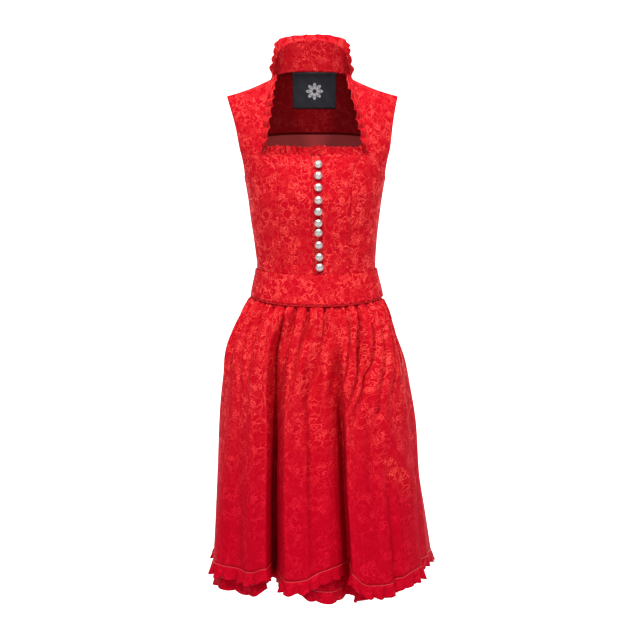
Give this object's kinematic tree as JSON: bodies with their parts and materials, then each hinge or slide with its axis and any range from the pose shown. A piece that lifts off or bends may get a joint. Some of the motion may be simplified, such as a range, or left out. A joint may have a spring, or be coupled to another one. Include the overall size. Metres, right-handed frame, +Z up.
{
  "type": "sleeveless dirndl dress with apron",
  "caption": "Sleeveless fitted dirndl with a ruffled stand collar, square neck, buttoned bodice, gathered skirt and matching gathered apron.",
  "frame": {"origin": "midway between the two shoulder neck points, where the wearer's shoulders hold the dress up", "axes": "+Z up along the dress, -Y towards its front, +X to the viewer's right as seen from the front"},
  "size_m": [0.5109, 0.4635, 1.2071],
  "materials": {
    "red_jacquard": "tone on tone floral jacquard with a satin sheen",
    "antique_silver": "domed, darkened in its hollows",
    "label_satin": "woven black satin"
  },
  "bodies": {
    "root": {"front_left": "red_jacquard", "front_right": "red_jacquard", "side_front_left": "red_jacquard", "side_front_right": "red_jacquard", "back_centre": "red_jacquard", "back_side_left": "red_jacquard", "back_side_right": "red_jacquard", "collar": "red_jacquard", "back_facing": "red_jacquard", "label": "label_satin", "button_stand": "red_jacquard", "neck_ruffle_left": "red_jacquard", "neck_ruffle_right": "red_jacquard", "neck_ruffle_collar": "red_jacquard", "apron_band": "red_jacquard", "band_piping": "red_jacquard", "apron": "red_jacquard", "apron_ruffle": "red_jacquard", "skirt_front": "red_jacquard", "skirt_back": "red_jacquard", "skirt_ruffle_front": "red_jacquard", "skirt_ruffle_back": "red_jacquard", "button_01": "antique_silver", "button_02": "antique_silver", "button_03": "antique_silver", "button_04": "antique_silver", "button_05": "antique_silver", "button_06": "antique_silver", "button_07": "antique_silver", "button_08": "antique_silver", "button_09": "antique_silver", "button_10": "antique_silver"}
  },
  "joints": []
}
